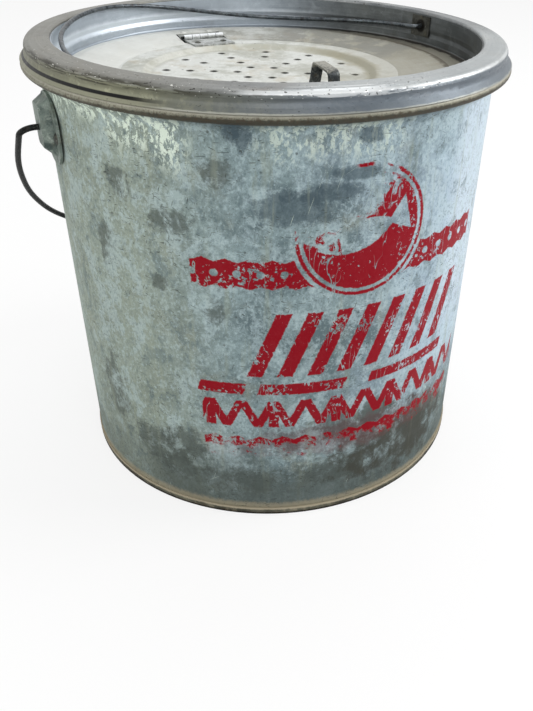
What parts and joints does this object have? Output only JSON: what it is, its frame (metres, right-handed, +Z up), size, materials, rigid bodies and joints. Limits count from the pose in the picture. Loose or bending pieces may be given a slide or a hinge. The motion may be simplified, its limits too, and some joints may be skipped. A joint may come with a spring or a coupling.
{
  "type": "minnow bucket",
  "caption": "Galvanized minnow bucket: tapered pail with wired rim and swinging bail, and a lift-out floating liner with hinged perforated lid, finger strap and its own wire bail.",
  "frame": {"origin": "on the pail's axis, in the plane that its base ring stands on", "axes": "+Z up along the pail's axis; the carrying bail pivots about the horizontal line 30.5 degrees from +X towards +Y; -Y is the side that the picture shows"},
  "size_m": [0.2673, 0.2668, 0.2381],
  "materials": {
    "galvanized_sheet": "dull mottled zinc, stained",
    "wire_steel": "dull grey wire",
    "ear_steel": "dull zinc",
    "rivet_steel": "dull",
    "bail_wire": "dark, nearly black wire",
    "grip_wood": "worn, oiled",
    "collar_tin": "worn, pitted",
    "well_sheet": "dull mottled zinc",
    "deck_sheet": "dull, stained",
    "patch_solder": "dull solder",
    "lid_sheet": "pale, chalky",
    "hinge_steel": "dull",
    "strap_steel": "dark, mottled"
  },
  "bodies": {
    "pail": {"pail_wall": "galvanized_sheet", "pail_base": "galvanized_sheet", "pail_rim_wire": "wire_steel", "pail_ear_left": "ear_steel", "pail_ear_right": "ear_steel", "pail_ear_rivets": "rivet_steel"},
    "carry_bail": {"carry_bail_wire": "bail_wire"},
    "grip": {"carry_bail_grip": "grip_wood"},
    "liner": {"liner_collar": "collar_tin", "liner_chamber_wall": "well_sheet", "liner_well": "well_sheet", "liner_ledge": "well_sheet", "liner_float_skin": "well_sheet", "liner_float_bottom": "well_sheet", "liner_deck": "deck_sheet", "liner_basket": "well_sheet", "liner_basket_base": "well_sheet", "liner_bail_patch_left": "patch_solder", "liner_bail_patch_right": "patch_solder", "deck_hinge_leaf": "hinge_steel", "deck_leaf_rivets": "rivet_steel", "hinge_pin": "hinge_steel"},
    "lid": {"lid_plate": "lid_sheet", "lid_hinge_leaf": "hinge_steel", "lid_leaf_rivets": "rivet_steel", "lid_strap": "strap_steel", "lid_strap_rivets": "rivet_steel"},
    "liner_bail": {"liner_bail_wire": "wire_steel"}
  },
  "joints": [
    {"name": "carry_bail_swing", "type": "hinge", "parent": "pail", "child": "carry_bail", "pos_m": [0, 0, 0.1985], "axis": [0.8616, 0.5075, 0], "range_deg": [0, 262]},
    {"name": "grip_spin", "type": "hinge", "parent": "carry_bail", "child": "grip", "pos_m": [-0.06451, 0.10951, 0.0841], "axis": [0.8616, 0.5075, 0], "continuous": true},
    {"name": "liner_lift", "type": "slide", "parent": "pail", "child": "liner", "axis": [0, 0, 1], "range_m": [0, 0.25]},
    {"name": "lid_swing", "type": "hinge", "parent": "liner", "child": "lid", "pos_m": [-0.04799, 0.07072, 0.2171], "axis": [-0.8572, -0.515, 0], "range_deg": [0, 95]},
    {"name": "liner_bail_swing", "type": "hinge", "parent": "liner", "child": "liner_bail", "pos_m": [0, 0, 0.228], "axis": [0.7716, 0.6361, 0], "range_deg": [0, 150]}
  ]
}
